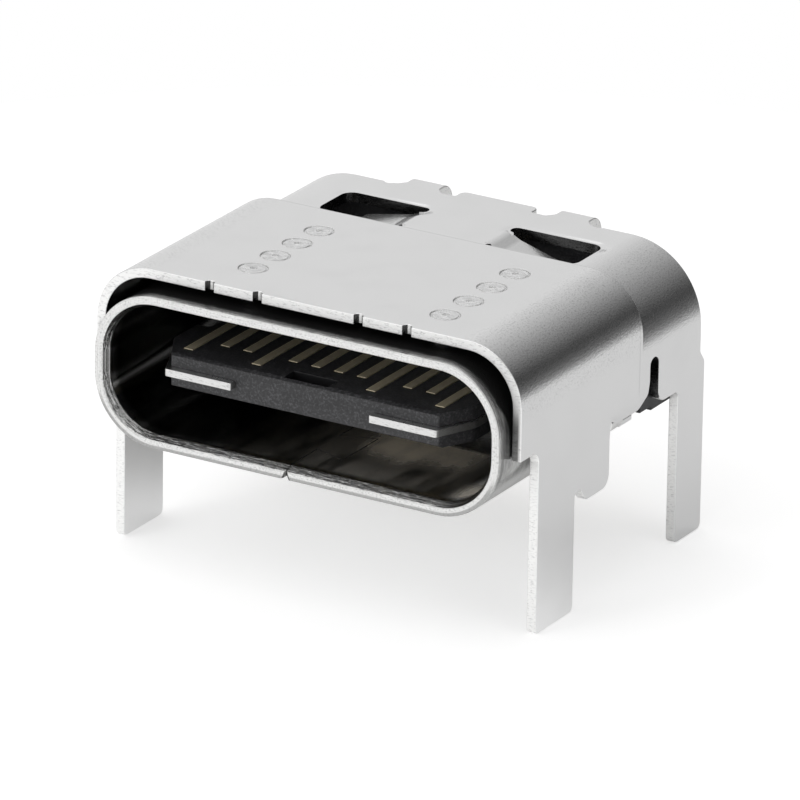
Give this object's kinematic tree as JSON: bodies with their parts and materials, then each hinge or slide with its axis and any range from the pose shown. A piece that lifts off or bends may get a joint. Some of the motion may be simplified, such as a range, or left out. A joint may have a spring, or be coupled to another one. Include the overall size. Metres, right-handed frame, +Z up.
{
  "type": "usb-c socket",
  "caption": "Board-mounted socket for a small reversible plug: folded steel shell on four solder legs, rolled mouth, central tongue with contacts, black rear housing.",
  "frame": {"origin": "on the board surface, under the middle of the inner shell's front edge", "axes": "+Z up from the board, -Y out of the mouth, X across the mouth"},
  "size_m": [0.0092, 0.008, 0.0059],
  "materials": {
    "shell_steel": "satin nickel plate on folded sheet",
    "mouth_steel": "bright nickel plate",
    "black_plastic": "matt moulded",
    "tongue_plastic": "matt moulded, fine grain",
    "contact_gold": "gold flash"
  },
  "bodies": {
    "root": {"outer_shell": "shell_steel", "inner_shell": "mouth_steel", "housing": "black_plastic", "tongue": "tongue_plastic", "upper_wafer": "black_plastic", "lower_wafer": "black_plastic", "mid_plate": "mouth_steel", "upper_ground_pad": "mouth_steel", "lower_ground_pad": "mouth_steel", "contact_upper_01": "contact_gold", "contact_upper_02": "contact_gold", "contact_upper_03": "contact_gold", "contact_upper_04": "contact_gold", "contact_upper_05": "contact_gold", "contact_upper_06": "contact_gold", "contact_upper_07": "contact_gold", "contact_upper_08": "contact_gold", "contact_upper_09": "contact_gold", "contact_upper_10": "contact_gold", "contact_upper_11": "contact_gold", "contact_upper_12": "contact_gold", "contact_lower_01": "contact_gold", "contact_lower_02": "contact_gold", "contact_lower_03": "contact_gold", "contact_lower_04": "contact_gold", "contact_lower_05": "contact_gold", "contact_lower_06": "contact_gold", "contact_lower_07": "contact_gold", "contact_lower_08": "contact_gold", "contact_lower_09": "contact_gold", "contact_lower_10": "contact_gold", "contact_lower_11": "contact_gold", "contact_lower_12": "contact_gold"}
  },
  "joints": []
}
